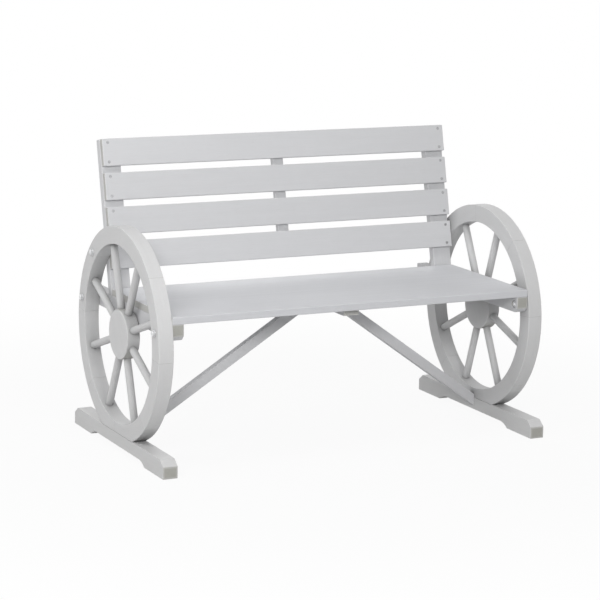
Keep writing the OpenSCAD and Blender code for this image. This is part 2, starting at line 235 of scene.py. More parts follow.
looks = {
    "seat_paint": paintedWood("seatPaint", {**woodLook, "paint": (0.596, 0.602, 0.620),
                                            "streak": 0.105, "fibre": 0.085}),
    "slat_paint": paintedWood("slatPaint", {**woodLook, "paint": (0.606, 0.609, 0.620)}),
    "frame_paint": paintedWood("framePaint", woodLook),
    "rim_paint": paintedWood("rimPaint", wheelLook),
    "spoke_paint": paintedWood("spokePaint", wheelLook),
    "foot_paint": paintedWood("footPaint", {**woodLook, "paint": (0.600, 0.600, 0.598)}),
    "bolt_steel": steel("boltSteel", {**steelLook, "bright": (0.80, 0.80, 0.81), "dull": (0.60, 0.61, 0.62),
                                      "metal": 0.85, "rough": 0.34}),
    "screw_steel": steel("screwSteel", {**steelLook, "bright": (0.50, 0.50, 0.51), "dull": (0.36, 0.36, 0.37),
                                        "metal": 0.6, "rough": 0.48}),
}
print("paints and steels mixed")


made = []                                 # every piece, in the order it was made
tiny = 1e-6                               # metres: places nearer than this are one place
faceMarks = {"rounded": 1, "drilled": 2, "heart": 3}     # a face's material index while its piece is built
cutSet = {"boreSteps": 32, "reach": 0.005, "endFacing": 0.95, "endLeast": 3}


def roundEdges(bm, width, steps=3, sharpest=25, kept=None):    # kept says which edges stay square
    edges = [e for e in bm.edges if len(e.link_faces) == 2 and e.calc_face_angle() > math.radians(sharpest)]
    edges = [e for e in edges if kept is None or not kept(e)]
    bmesh.ops.bevel(bm, geom=edges, offset=width, segments=steps, profile=0.5, affect="EDGES",
                    clamp_overlap=True, material=faceMarks["rounded"])


def markEnds(bm, along, border):          # a border round each sawn end, so that its heart can be darker
    bm.normal_update()
    along, least = Vector(along).normalized(), (cutSet["endLeast"] * border) ** 2
    ends = [f for f in bm.faces if abs(f.normal.dot(along)) > cutSet["endFacing"] and f.calc_area() > least]
    if ends:
        bmesh.ops.inset_individual(bm, faces=ends, thickness=border, use_even_offset=True)
    for f in ends:
        f.material_index = faceMarks["heart"]


def barFrom(outline, start, end):         # outline front to back and up, drawn out from start to end across
    bm = bmesh.new()
    face = bm.faces.new([bm.verts.new((start, y, z)) for y, z in outline])
    grown = bmesh.ops.extrude_face_region(bm, geom=[face])
    moved = [v for v in grown["geom"] if isinstance(v, bmesh.types.BMVert)]
    bmesh.ops.translate(bm, vec=(end - start, 0, 0), verts=moved)
    bmesh.ops.recalc_face_normals(bm, faces=bm.faces)
    return bm


def boardFrom(low, high, place=None):     # a board between two corners, then carried to its place
    (x0, y0, z0), (x1, y1, z1) = low, high
    bm = barFrom([(y0, z0), (y1, z0), (y1, z1), (y0, z1)], x0, x1)
    if place is not None:
        bm.transform(place)
    return bm


def joinRings(bm, rings):                 # a ring of one vertex closes to a point
    for lower, upper in zip(rings, rings[1:]):
        steps = max(len(lower), len(upper))
        for i in range(steps):
            j = (i + 1) % steps
            corners = [lower[i % len(lower)], lower[j % len(lower)],
                       upper[j % len(upper)], upper[i % len(upper)]]
            bm.faces.new(list(dict.fromkeys(corners)))


def turned(bm, profile, place, steps):    # profile as (radius, distance along the axis)
    rings = []
    for radius, along in profile:
        if radius < tiny:
            rings.append([bm.verts.new(place @ Vector((0, 0, along)))])
            continue
        rings.append([bm.verts.new(place @ Vector((radius * math.cos(a), radius * math.sin(a), along)))
                      for a in (2 * math.pi * i / steps for i in range(steps))])
    joinRings(bm, rings)
    return rings


def axesAt(along, across, origin=(0, 0, 0)):             # grain runs along the first axis
    x, y = Vector(along).normalized(), Vector(across).normalized()
    z = x.cross(y)
    return Matrix.Translation(Vector(origin)) @ Matrix((x, y, z)).transposed().to_4x4()


def drill(obj, holes):                    # holes: (place, profile) pairs, cut with one boolean
    bm = bmesh.new()
    for place, profile in holes:
        turned(bm, profile, place, cutSet["boreSteps"])
    bmesh.ops.recalc_face_normals(bm, faces=bm.faces)
    for f in bm.faces:
        f.material_index = faceMarks["drilled"]
    mesh = bpy.data.meshes.new("drill")
    bm.to_mesh(mesh)
    bm.free()
    bit = bpy.data.objects.new("drill", mesh)
    bpy.context.scene.collection.objects.link(bit)
    cut = obj.modifiers.new("drill", "BOOLEAN")
    cut.object, cut.operation, cut.solver = bit, "DIFFERENCE", "EXACT"
    cut.material_mode = "INDEX"
    bpy.context.view_layer.update()
    whole = bpy.data.meshes.new_from_object(obj.evaluated_get(bpy.context.evaluated_depsgraph_get()))
    obj.modifiers.remove(cut)
    obj.data = whole
    bpy.data.objects.remove(bit)


def finishPiece(name, bm, slotName, nodes, axes=None, holes=(), smooth=40):
    bmesh.ops.recalc_face_normals(bm, faces=bm.faces)
    mesh = bpy.data.meshes.new(name)
    bm.to_mesh(mesh)
    bm.free()
    obj = bpy.data.objects.new(name, mesh)
    bpy.context.scene.collection.objects.link(obj)
    if holes:
        drill(obj, holes)
    mesh = obj.data
    mesh.name = name
    if axes is not None:
        layGrain(mesh, axes)
    mesh.materials.clear()                # this also clears the marks that the faces carried
    mesh.materials.append(looks[slotName])
    mesh.shade_smooth()
    mesh.set_sharp_from_angle(angle=math.radians(smooth))
    weighted = obj.modifiers.new("evenShading", "WEIGHTED_NORMAL")
    weighted.keep_sharp = True
    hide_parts(*nodes)
    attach(obj, "root")
    made.append(obj)
    return obj


grainSet = {
    "shift": ((0.731, 7), (1.237, 5), (0.377, 3)),       # step and span, so that no two boards look alike
    "toneSpread": 0.014, "toneStep": 2.399,              # one board a little lighter than the next
    "endFrom": 0.72, "endRange": 0.2,                    # how squarely a sawn end crosses the grain
}


def layGrain(mesh, axes):                 # the marks that the paint reads: grain, sawn ends, arrises and tone
    s = grainSet
    number = len(made)
    shift = Vector([number * step % span for step, span in s["shift"]])
    inward = axes.inverted()
    turn = inward.to_3x3()
    grain = mesh.attributes.new("grain", "FLOAT_VECTOR", "POINT")
    grain.data.foreach_set("vector", [c for v in mesh.vertices for c in (inward @ v.co) + shift])
    tone = mesh.attributes.new("tone", "FLOAT", "POINT")
    tone.data.foreach_set("value", [s["toneSpread"] * math.sin(number * s["toneStep"])] * len(mesh.vertices))
    flat, heart = set(), set()
    for p in mesh.polygons:
        if p.material_index != faceMarks["rounded"]:
            flat.update(p.vertices)
        if p.material_index == faceMarks["heart"]:
            heart.update(p.vertices)
    ends, edges, hearts = ([0.0] * len(mesh.loops) for i in range(3))
    for p in mesh.polygons:
        facing = abs((turn @ p.normal).x)
        share = min(max((facing - s["endFrom"]) / s["endRange"], 0), 1)
        for loop, vert in zip(p.loop_indices, p.vertices):
            ends[loop] = share
            edges[loop] = 0.0 if vert in flat else 1.0
            hearts[loop] = 1.0 if vert in heart else 0.0
    for kind, values in (("endGrain", ends), ("edge", edges), ("heart", hearts)):
        mesh.attributes.new(kind, "FLOAT", "CORNER").data.foreach_set("value", values)


def mirrored(side):                       # what is drawn for the right side, on the given side
    return -1 if side == "left" else 1


# What every screw and its hole share
screwSet = {
    "headWide": 0.008, "shankWide": 0.0035, "headDeep": 0.0028, "tip": 0.00525, "room": 0.0001,
    "rimShare": 0.93, "rimSoft": 0.00018, "rimHigh": 0.0004,           # the edge of the head
    "threadFrom": 0.45, "pitch": 0.0016, "rootShare": 0.78, "tipShare": 0.7,
    "crossLong": 0.0023, "crossWide": 0.00055, "crossDeep": 0.0012, "crossTaper": 0.7, "steps": 24,
}


def screwHole(length, reach):             # the hole widened for the head, with a bore behind it
    s = screwSet
    head, shank = s["headWide"] / 2 + s["room"], s["shankWide"] / 2 + s["room"]
    return [(0, -reach), (head, -reach), (head, 0), (shank, s["headDeep"]),
            (shank, length - s["tip"]), (0, length)]


def addScrew(bm, place, length):          # head's face at zero, driven along the third axis
    s = screwSet
    head, shank, pitch = s["headWide"] / 2, s["shankWide"] / 2, s["pitch"]
    start, end = length * s["threadFrom"], length - s["tip"]
    thread = []
    for i in range(int((end - start) / pitch)):
        at = start + i * pitch
        thread += [(shank * s["rootShare"], at), (shank, at + pitch / 2)]
    top = [(head * s["rimShare"], 0), (head, s["rimSoft"]), (head, s["rimHigh"]), (shank, s["headDeep"]),
           (shank, start)]
    point = [(shank * s["tipShare"], end), (0, length)]
    rings = turned(bm, top + thread + point, place, s["steps"])
    long, wide, taper = s["crossLong"], s["crossWide"], s["crossTaper"]
    cross = [(long, -wide), (long, wide), (wide, wide), (wide, long), (-wide, long), (-wide, wide),
             (-long, wide), (-long, -wide), (-wide, -wide), (-wide, -long), (wide, -long), (wide, -wide)]
    rim = [bm.verts.new(place @ Vector((x, y, 0))) for x, y in cross]
    well = [bm.verts.new(place @ Vector((x * taper, y * taper, s["crossDeep"]))) for x, y in cross]
    joinRings(bm, [rim, well])
    bm.faces.new(well)
    edges = [bm.edges.get((ring[i], ring[(i + 1) % len(ring)]))
             for ring in (rim, rings[0]) for i in range(len(ring))]
    bmesh.ops.bridge_loops(bm, edges=edges)


def makeScrews(name, places, length):
    bm = bmesh.new()
    for place in places:
        addScrew(bm, place, length)
    finishPiece(name, bm, "screw_steel", [name], smooth=35)


# Wheels of eight felloes, eight dowel spokes and a plain hub each
wheelSet = {
    "radius": 0.267, "rimWide": 0.0445, "centreHigh": 0.293, "footHigh": 0.045, "count": 8,
    "turn": {"left": 4.0, "right": -4.0},
    "arris": 0.0015, "arrisSteps": 4,     # rounding of the rim's long edges
    "flatArris": 0.00003,                 # the flat on the foot is left square
    "joint": 0.00025,                     # small chamfer at the felloes' glued joints
    "felloeSteps": 28, "cornerRoom": 0.01,
}
spokeSet = {
    "wide": 0.019, "from": 0.040, "to": 0.2375, "tip": 0.001,
    "hubDent": ((0, -0.0016), (0.0007, -0.0008), (0.0007, 0.0003), (0.0001, 0.0012)),    # deep, outwards
    "rimDent": ((0.0001, -0.0012), (0.0007, -0.0004), (0.0007, 0.0008), (0, 0.0016)),
    "uneven": 0.00006, "waves": 17, "waveStep": 2.1, "room": 0.002, "steps": 14, "around": 36,
}
hubSet = {
    "radius": 0.062, "thick": 0.034, "arris": 0.003, "arrisSteps": 5, "around": 128, "midShare": 0.5,
    "grainTurn": 20,
}


def rimSection(inner, outer, x0, x1, soft, outerSoft, steps):    # rounded rectangle as (radius, x) pairs
    points = []
    for r, x, w, first in ((outer, x1, outerSoft, 0), (inner, x1, soft, 90), (inner, x0, soft, 180),
                           (outer, x0, outerSoft, 270)):
        cr, cx = r + (w if r == inner else -w), x + (w if x == x0 else -w)
        for i in range(steps + 1):
            a = math.radians(first + 90 * i / steps)
            points.append((cr + w * math.cos(a), cx + w * math.sin(a)))
    return points


def makeFelloe(side, number):
    s = wheelSet
    name = f"{side}_felloe_{number}"
    half, steps = math.pi / s["count"], s["felloeSteps"]
    middle = (2 * number - 1) * half + math.radians(s["turn"][side])
    first, last = middle - half, middle + half
    low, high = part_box(name)
    inner, drop = s["radius"] - s["rimWide"], s["centreHigh"] - s["footHigh"]

    def outerAt(a):                       # the rim stands on a flat on its foot
        down = -math.sin(a)
        return min(s["radius"], drop / down) if down > 0 else s["radius"]

    angles = [first + 2 * half * i / steps for i in range(1, steps)]
    meet = math.asin(drop / s["radius"])
    for corner in (2 * math.pi - meet, math.pi + meet, -meet, meet - math.pi):
        if first + s["cornerRoom"] < corner < last - s["cornerRoom"]:
            angles.append(corner)
    nick = s["joint"] / s["radius"]
    angles = sorted(angles + [first + nick, last - nick])
    bm = bmesh.new()
    rings = []
    for a, inset in [(first, s["joint"])] + [(a, 0) for a in angles] + [(last, s["joint"])]:
        onFlat = outerAt(a) < s["radius"] - tiny
        outer = outerAt(a) - (0 if onFlat else inset)
        section = rimSection(inner + inset, outer, low.x + inset, high.x - inset, s["arris"],
                             s["flatArris"] if onFlat else s["arris"], s["arrisSteps"])
        rings.append([bm.verts.new((x, r * math.cos(a), s["centreHigh"] + r * math.sin(a)))
                      for r, x in section])
    count = len(rings[0])
    for lower, upper in zip(rings, rings[1:]):
        for i in range(count):
            j = (i + 1) % count
            f = bm.faces.new([lower[i], lower[j], upper[j], upper[i]])
            if i % (s["arrisSteps"] + 1) != s["arrisSteps"]:
                f.material_index = faceMarks["rounded"]
    bm.faces.new(rings[0])
    bm.faces.new(list(reversed(rings[-1])))
    axes = axesAt((0, -math.sin(middle), math.cos(middle)), (0, math.cos(middle), math.sin(middle)),
                  ((low.x + high.x) / 2, 0, s["centreHigh"]))
    finishPiece(name + "_wood", bm, "rim_paint", [name], axes)


def makeSpoke(side, number):
    s, w = spokeSet, wheelSet
    name = f"{side}_spoke_{number}"
    angle = (2 * number - 1) * math.pi / w["count"] + math.radians(w["turn"][side])
    low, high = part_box(name)
    out = Vector((0, math.cos(angle), math.sin(angle)))
    place = axesAt((1, 0, 0), out.cross(Vector((1, 0, 0))), ((low.x + high.x) / 2, 0, w["centreHigh"]))
    radius, hub, rim = s["wide"] / 2, hubSet["radius"], w["radius"] - w["rimWide"]
    profile = [(0, s["from"]), (radius - s["tip"], s["from"]), (radius, s["from"] + s["tip"])]
    profile += [(radius - deep, hub + along) for deep, along in s["hubDent"]]
    for i in range(1, s["steps"]):        # a dowel is never quite even
        share = i / s["steps"]
        wave = math.sin(share * s["waves"] + number * s["waveStep"])
        along = hub + s["room"] + (rim - hub - 2 * s["room"]) * share
        profile.append((radius - s["uneven"] * (1 + wave), along))
    profile += [(radius - deep, rim + along) for deep, along in s["rimDent"]]
    profile += [(radius, s["to"] - s["tip"]), (radius - s["tip"], s["to"]), (0, s["to"])]
    bm = bmesh.new()
    turned(bm, profile, place, s["around"])
    axes = axesAt(out, (1, 0, 0), (0, 0, w["centreHigh"]))
    finishPiece(name + "_dowel", bm, "spoke_paint", [name], axes)


def makeHub(side):
    s, w = hubSet, wheelSet
    name = f"{side}_hub"
    low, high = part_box(name)
    middle = (low.x + high.x) / 2
    place = axesAt((0, 1, 0), (0, 0, 1), (middle, 0, w["centreHigh"]))
    half, radius, arris = s["thick"] / 2, s["radius"], s["arris"]
    turns = [math.pi / 2 * i / s["arrisSteps"] for i in range(s["arrisSteps"] + 1)]
    profile = [(0, half), (radius * s["midShare"], half)]
    profile += [(radius - arris + arris * math.sin(a), half - arris + arris * math.cos(a)) for a in turns]
    profile += [(r, -z) for r, z in reversed(profile)]
    bm = bmesh.new()
    turned(bm, profile, place, s["around"])
    for f in bm.faces:
        spread = [abs(v.co.x - middle) for v in f.verts]
        if min(spread) > half - arris - tiny and max(spread) - min(spread) > tiny:
            f.material_index = faceMarks["rounded"]
    turn = math.radians(w["turn"][side] + s["grainTurn"])
    axes = axesAt((0, math.sin(turn), math.cos(turn)), (1, 0, 0), (0, 0, w["centreHigh"]))
    finishPiece(name + "_disc", bm, "spoke_paint", [name], axes)


for side in ("left", "right"):
    for number in range(1, wheelSet["count"] + 1):
        makeFelloe(side, number)
        makeSpoke(side, number)
    makeHub(side)
print("wheels made")

# Feet, arched below and bevelled at their upper ends
footSet = {
    "bevelLong": 0.020, "bevelHigh": 0.015, "padLong": 0.118, "archRise": 0.0125, "archRadius": 0.060,
    "arris": 0.0012, "archSteps": 9, "endBorder": 0.005,
    "screwLong": 0.045, "screwHold": 0.020, "screwOut": 0.060,
}


def footScrews():
    s = footSet
    places = []
    for side in ("left", "right"):
        low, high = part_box(side + "_foot")
        z = high.z + s["screwHold"] - s["screwLong"]
        for y in (-s["screwOut"], s["screwOut"]):
            places.append(Matrix.Translation(((low.x + high.x) / 2, y, z)))
    return places


def makeFoot(side):
    s = footSet
    name = side + "_foot"
    low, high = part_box(name)
    y, h, r = high.y, high.z, s["archRadius"]
    run = math.sqrt(r * r - (r - s["archRise"]) ** 2)
    flat = y - s["padLong"] - run
    arc = []
    for i in range(s["archSteps"] + 1):
        a = math.asin(run / r) * i / s["archSteps"]
        arc.append((flat + r * math.sin(a), s["archRise"] - r + r * math.cos(a)))
    w = wheelSet
    under = math.sqrt(w["radius"] ** 2 - (w["centreHigh"] - h) ** 2)       # the wheel's flat reaches this far
    rightHalf = arc[1:] + [(y, 0), (y, h - s["bevelHigh"]), (y - s["bevelLong"], h), (under, h)]
    leftHalf = [(-a, b) for a, b in reversed(rightHalf)]
    bm = barFrom(rightHalf + leftHalf + arc[:1], low.x, high.x)

    def underWheel(e):
        return all(v.co.z > h - tiny and abs(v.co.y) < under + tiny for v in e.verts)

    roundEdges(bm, s["arris"], kept=underWheel)
    markEnds(bm, (0, 1, 0), s["endBorder"])
    holes = [(p, screwHole(s["screwLong"], h)) for p in footScrews() if low.x < p.translation.x < high.x]
    finishPiece(name + "_bar", bm, "foot_paint", [name], axesAt((0, 1, 0), (0, 0, 1)), holes)


for side in ("left", "right"):
    makeFoot(side)
makeScrews("foot_screws", footScrews(), footSet["screwLong"])
print("feet made")

# Where the wheel bolts go; the rails are recessed for their nuts
boltSet = {
    "wide": 0.008, "room": 0.0001, "headHigh": 0.0053, "acrossFlats": 0.013, "nutHigh": 0.0065,
    "endLong": 0.0019, "pitch": 0.00125, "washerWide": 0.017, "washerThick": 0.0016,
    "steps": 36, "washerSteps": 48,
    "railGrip": 0.020, "postGrip": 0.052, "rimThick": 0.0381, "recessWide": 0.020, "recessDeep": 0.010,
    "topShare": 0.94, "topSoft": 0.0005, "cornerDrop": 0.0009,         # how heads and nuts are turned down
    "threadFrom": 0.006, "rootShare": 0.86, "tipShare": 0.74, "tipLong": 0.0006, "tipRoom": 0.0008,
    "washerSoft": 0.0003, "boreSoft": 0.0004,
}


def boltPlaces(sides=("left", "right"), into=("railGrip", "postGrip")):    # (place, wood gripped)
    s = boltSet
    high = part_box("wheel_bolt_washers")[1]
    railLow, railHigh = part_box("right_rail")
    railY, postZ = high.y - s["washerWide"] / 2, high.z - s["washerWide"] / 2
    railZ, centre = (railLow.z + railHigh.z) / 2, wheelSet["centreHigh"]
    postY = math.sqrt(railY ** 2 + (railZ - centre) ** 2 - (postZ - centre) ** 2)      # all on one ring
    ring = ((-railY, railZ, "railGrip"), (railY, railZ, "railGrip"), (postY, postZ, "postGrip"))
    spots = []
    for side in sides:
        m = mirrored(side)
        for y, z, grip in ring:
            place = axesAt((0, 1, 0), (0, 0, m), (m * (high.x - s["washerThick"]), y, z))
            if grip in into:
                spots.append((place, s[grip] + s["rimThick"]))
    return spots


def nutRecess():                          # from the rail's inner side
    s = boltSet
    floor, r = -s["rimThick"] - s["railGrip"], s["recessWide"] / 2
    mouth = floor - s["recessDeep"] - cutSet["reach"]
    return [(0, mouth), (r, mouth), (r, floor), (0, floor)]


# The seat, with its rails and batten
seatSet = {
    "arris": 0.0018, "arrisSteps": 4, "railArris": 0.0012, "railBevel": 0.011, "endBorder": 0.0025,
    "railScrewLong": 0.030, "railScrewInset": 0.056, "hold": 0.0117,
    "battenScrewShares": (0.1, 0.5, 0.9),
}


def railScrews():
    s = seatSet
    low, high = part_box("seat_panel")
    first, last = low.y + s["railScrewInset"], high.y - s["railScrewInset"]
    places = []
    for side in ("left", "right"):
        a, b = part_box(side + "_rail")
        for share in (0, 0.5, 1):
            places.append(Matrix.Translation(((a.x + b.x) / 2, first + (last - first) * share,
                                              low.z + s["hold"] - s["railScrewLong"])))
    return places


def battenScrews():
    low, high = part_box("seat_batten")
    return [Matrix.Translation((0, low.y + (high.y - low.y) * share, low.z))
            for share in seatSet["battenScrewShares"]]


def makeSeat():
    s = seatSet
    bm = boardFrom(*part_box("seat_panel"))
    roundEdges(bm, s["arris"], s["arrisSteps"])
    finishPiece("seat_board", bm, "seat_paint", ["seat_panel"], axesAt((1, 0, 0), (0, 1, 0)))
    for side in ("left", "right"):
        low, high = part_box(side + "_rail")
        outline = [(low.y, high.z), (low.y, low.z + s["railBevel"]), (low.y + s["railBevel"], low.z),
                   (high.y, low.z), (high.y, high.z)]
        bm = barFrom(outline, low.x, high.x)
        roundEdges(bm, s["railArris"])
        markEnds(bm, (0, 1, 0), s["endBorder"])
        holes = [(p, screwHole(s["railScrewLong"], high.z - low.z)) for p in railScrews()
                 if low.x < p.translation.x < high.x]
        holes += [(p, nutRecess()) for p, grip in boltPlaces((side,), ("railGrip",))]
        axes = axesAt((0, 1, 0), (0, 0, 1))
        finishPiece(side + "_rail_bar", bm, "frame_paint", [side + "_rail"], axes, holes)
    makeScrews("rail_screws", railScrews(), s["railScrewLong"])
    low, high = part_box("seat_batten")
    length = high.z - low.z + s["hold"]
    bm = boardFrom(low, high)
    roundEdges(bm, s["railArris"])
    holes = [(p, screwHole(length, cutSet["reach"])) for p in battenScrews()]
    finishPiece("seat_batten_bar", bm, "frame_paint", ["seat_batten"], axesAt((0, 1, 0), (1, 0, 0)), holes)
    makeScrews("seat_batten_screws", battenScrews(), length)


makeSeat()
print("seat made")

# The back: two leaning posts, four slats and the batten behind them
backSet = {
    "lean": 13.0, "foot": (0, 0.131968, 0.363),          # where the posts' front faces meet the rails
    "postThick": 0.022, "slatWide": 0.069, "slatThick": 0.015, "slatArris": 0.0020, "postArris": 0.0018,
    "arrisSteps": 4, "battenThick": 0.015, "battenInset": 0.014,
    "topAlong": 0.393, "firstAlong": 0.066, "pitch": 0.086, "count": 4,
    "screwEnd": 0.015, "screwEdge": 0.010, "screwSink": 0.0006, "hold": 0.65,
}


def onBack(x, through, along):            # a point of the back: through it, and along it from the rails
    lean = math.radians(backSet["lean"])
    foot = Vector(backSet["foot"])
    return foot + Vector((x, through * math.cos(lean) + along * math.sin(lean),
                          along * math.cos(lean) - through * math.sin(lean)))


def backAxes(x, through, along, facing):  # third axis points backwards or forwards through the back
    lean = math.radians(backSet["lean"])
    third = Vector((0, math.cos(lean), -math.sin(lean))) * facing
    first = Vector((1, 0, 0))
    turn = Matrix((first, third.cross(first), third)).transposed().to_4x4()
    return Matrix.Translation(onBack(x, through, along)) @ turn


def slatScrews(number=None):
    s = backSet
    places = []
    for i in range(s["count"]):
        low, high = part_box(f"back_slat_{i + 1}")
        for up in (s["screwEdge"], s["slatWide"] - s["screwEdge"]):
            for x in (low.x + s["screwEnd"], high.x - s["screwEnd"]):
                place = backAxes(x, s["screwSink"] - s["slatThick"], s["firstAlong"] + i * s["pitch"] + up, 1)
                if number is None or number == i + 1:
                    places.append(place)
    return places


def backScrews(number=None):
    s = backSet
    return [backAxes(0, s["battenThick"], s["firstAlong"] + i * s["pitch"] + s["slatWide"] / 2, -1)
            for i in range(s["count"]) if number is None or number == i + 1]


def makeBack():
    s = backSet
    lean = math.radians(s["lean"])
    up = Vector((0, math.sin(lean), math.cos(lean)))
    slatScrewLong = s["slatThick"] - s["screwSink"] + s["postThick"] * s["hold"]
    backScrewLong = s["battenThick"] + s["slatThick"] * s["hold"]
    for side in ("left", "right"):
        low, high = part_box(side + "_post")
        skew = s["postThick"] * math.tan(lean)
        outline = [(0, 0), (s["postThick"], skew), (s["postThick"], s["topAlong"]), (0, s["topAlong"])]
        bm = barFrom([tuple(onBack(0, a, b))[1:] for a, b in outline], low.x, high.x)
        roundEdges(bm, s["postArris"])
        finishPiece(side + "_post_bar", bm, "frame_paint", [side + "_post"], axesAt(up, (1, 0, 0)))
    for i in range(1, s["count"] + 1):
        low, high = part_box(f"back_slat_{i}")
        centre = (low + high) / 2
        half = Vector(((high.x - low.x) / 2, s["slatWide"] / 2, s["slatThick"] / 2))
        turn = Matrix(((1, 0, 0), up, Vector((1, 0, 0)).cross(up))).transposed().to_4x4()
        bm = boardFrom(-half, half, Matrix.Translation(centre) @ turn)
        roundEdges(bm, s["slatArris"], s["arrisSteps"])
        holes = [(p, screwHole(slatScrewLong, cutSet["reach"])) for p in slatScrews(i)]
        axes = axesAt((1, 0, 0), up)
        finishPiece(f"back_slat_{i}_board", bm, "slat_paint", [f"back_slat_{i}"], axes, holes)
    low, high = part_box("back_batten")
    first, last = s["firstAlong"] + s["battenInset"], s["topAlong"] - s["battenInset"]
    outline = [(0, first), (s["battenThick"], first), (s["battenThick"], last), (0, last)]
    bm = barFrom([tuple(onBack(0, a, b))[1:] for a, b in outline], low.x, high.x)
    roundEdges(bm, s["postArris"])
    holes = [(p, screwHole(backScrewLong, cutSet["reach"])) for p in backScrews()]
    finishPiece("back_batten_bar", bm, "frame_paint", ["back_batten"], axesAt(up, (1, 0, 0)), holes)
    makeScrews("slat_screws", slatScrews(), slatScrewLong)
    makeScrews("back_batten_screws", backScrews(), backScrewLong)


makeBack()
print("back made")

# Braces from the middle of the seat down to the wheels, cut plumb at both ends and level under the seat
braceSet = {
    "wide": 0.025, "thick": 0.022, "lowAtWheel": 0.0234, "frontMiddle": 0.0686, "frontEnd": 0.007,
    "arris": 0.0008, "endBorder": 0.003, "screwLong": 0.030, "upperScrewShare": 0.8, "sinkShare": 0.8,
}


def braceFrame(side):                     # first axis down the brace, third square to its upper side
    s = braceSet
    seatLow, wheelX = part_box("seat_panel")[0].z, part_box("right_foot")[0].x
    inward, fall = s["frontMiddle"] - s["frontEnd"], seatLow - s["lowAtWheel"]
    plan = math.hypot(wheelX, inward)
    slope, turn = math.atan2(fall, plan), math.atan2(inward, wheelX)
    place = Matrix.Translation((0, -s["frontMiddle"], seatLow)) @ Matrix.Rotation(turn, 4, "Z") \
        @ Matrix.Rotation(slope, 4, "Y")
    return {"flip": Matrix.Diagonal((mirrored(side), 1, 1, 1)), "place": place, "slope": slope, "turn": turn,
            "length": math.hypot(plan, fall), "seatLow": seatLow, "wheelX": wheelX}


def braceScrews(sides=("left", "right")):
    s = braceSet
    halfBatten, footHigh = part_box("seat_batten")[1].x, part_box("right_foot")[1].z
    places = []
    for side in sides:
        b = braceFrame(side)
        upper = (halfBatten + s["wide"] * s["upperScrewShare"]) / math.cos(b["slope"]) / math.cos(b["turn"])
        lower = (b["seatLow"] - (s["lowAtWheel"] + footHigh) / 2) / math.sin(b["slope"])
        up = upper * math.sin(b["slope"]) + seatSet["hold"] - s["screwLong"]
        rise = Matrix.Translation((upper, s["thick"] / 2, 0)) @ Matrix.Rotation(-b["slope"], 4, "Y") \
            @ Matrix.Translation((0, 0, up))
        into = Matrix.Translation((lower, s["thick"] / 2, 0)) \
            @ Matrix.Rotation(math.pi / 2 - b["slope"], 4, "Y") \
            @ Matrix.Translation((0, 0, screwSet["headWide"] * s["sinkShare"]))
        places += [b["flip"] @ b["place"] @ rise, b["flip"] @ b["place"] @ into]
    return places


def makeBrace(side):
    s, b = braceSet, braceFrame(side)
    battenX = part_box("seat_batten")[1].x
    bm = boardFrom((0, 0, 0), (b["length"] + s["thick"], s["thick"], s["wide"]), b["place"])
    for point, away in (((battenX, 0, 0), (-1, 0, 0)), ((b["wheelX"], 0, 0), (1, 0, 0)),
                        ((0, 0, b["seatLow"]), (0, 0, 1))):
        cut = bmesh.ops.bisect_plane(bm, geom=bm.verts[:] + bm.edges[:] + bm.faces[:], plane_co=point,
                                     plane_no=away, clear_outer=True)
        bmesh.ops.holes_fill(bm, edges=[e for e in cut["geom_cut"] if isinstance(e, bmesh.types.BMEdge)])
    bm.transform(b["flip"])
    if side == "left":
        bmesh.ops.reverse_faces(bm, faces=bm.faces)
    roundEdges(bm, s["arris"])
    markEnds(bm, (1, 0, 0), s["endBorder"])
    turn = (b["flip"] @ b["place"]).to_3x3()
    axes = axesAt(turn @ Vector((1, 0, 0)), turn @ Vector((0, 1, 0)))
    holes = [(p, screwHole(s["screwLong"], s["wide"])) for p in braceScrews((side,))]
    finishPiece(side + "_brace_bar", bm, "frame_paint", [side + "_brace"], axes, holes)


for side in ("left", "right"):
    makeBrace(side)
makeScrews("brace_screws", braceScrews(), braceSet["screwLong"])
print("braces made")

# Wheel bolts with their washers and nuts
def sixSided(bm, place, base, top, softBase):            # rings of a hexagon with its corners turned down
    s = boltSet
    flat, steps = s["acrossFlats"] / 2, s["steps"]
    corner, inner = flat / math.cos(math.pi / 6), flat * s["topShare"]
    levels = [(base, inner, 0), (base, corner, 1)] if softBase else [(base, corner, 0)]
    rings = []
    for z, reach, way in levels + [(top, corner, -1), (top, inner, 0)]:
        ring = []
        for i in range(steps):
            a = 2 * math.pi * i / steps
            toFlat = flat / math.cos((a + math.pi / 6) % (math.pi / 3) - math.pi / 6)
            bite = s["topSoft"] + s["cornerDrop"] * (toFlat - flat) / (corner - flat)
            r = min(toFlat, reach)
            ring.append(bm.verts.new(place @ Vector((r * math.cos(a), r * math.sin(a), z + way * bite))))
        rings.append(ring)
    return rings


def addBolt(bm, place, grip):             # the head stands on its washer, the thread goes through the nut
    s = boltSet
    shank, root = s["wide"] / 2, s["wide"] / 2 * s["rootShare"]
    end = -(grip + s["washerThick"] + s["nutHigh"] + s["endLong"])
    head = sixSided(bm, place, s["washerThick"], s["washerThick"] + s["headHigh"], False)
    bm.faces.new(head[-1])
    profile = [(shank, s["washerThick"])]
    at = s["threadFrom"] - grip
    while at - s["pitch"] > end + s["tipRoom"]:
        profile += [(shank, at), (root, at - s["pitch"] / 2)]
        at -= s["pitch"]
    profile += [(root, end + s["tipLong"]), (shank * s["tipShare"], end), (0, end)]
    rings = turned(bm, profile, place, s["steps"])
    joinRings(bm, [rings[0]] + head)


def addWasher(bm, place, top):
    s = boltSet
    inner, outer, soft = s["wide"] / 2 + s["room"], s["washerWide"] / 2, s["washerSoft"]
    base = top - s["washerThick"]
    ring = [(inner, top - soft), (inner + soft, top), (outer - soft, top), (outer, top - soft),
            (outer, base + soft), (outer - soft, base), (inner + soft, base), (inner, base + soft),
            (inner, top - soft)]
    turned(bm, ring, place, s["washerSteps"])


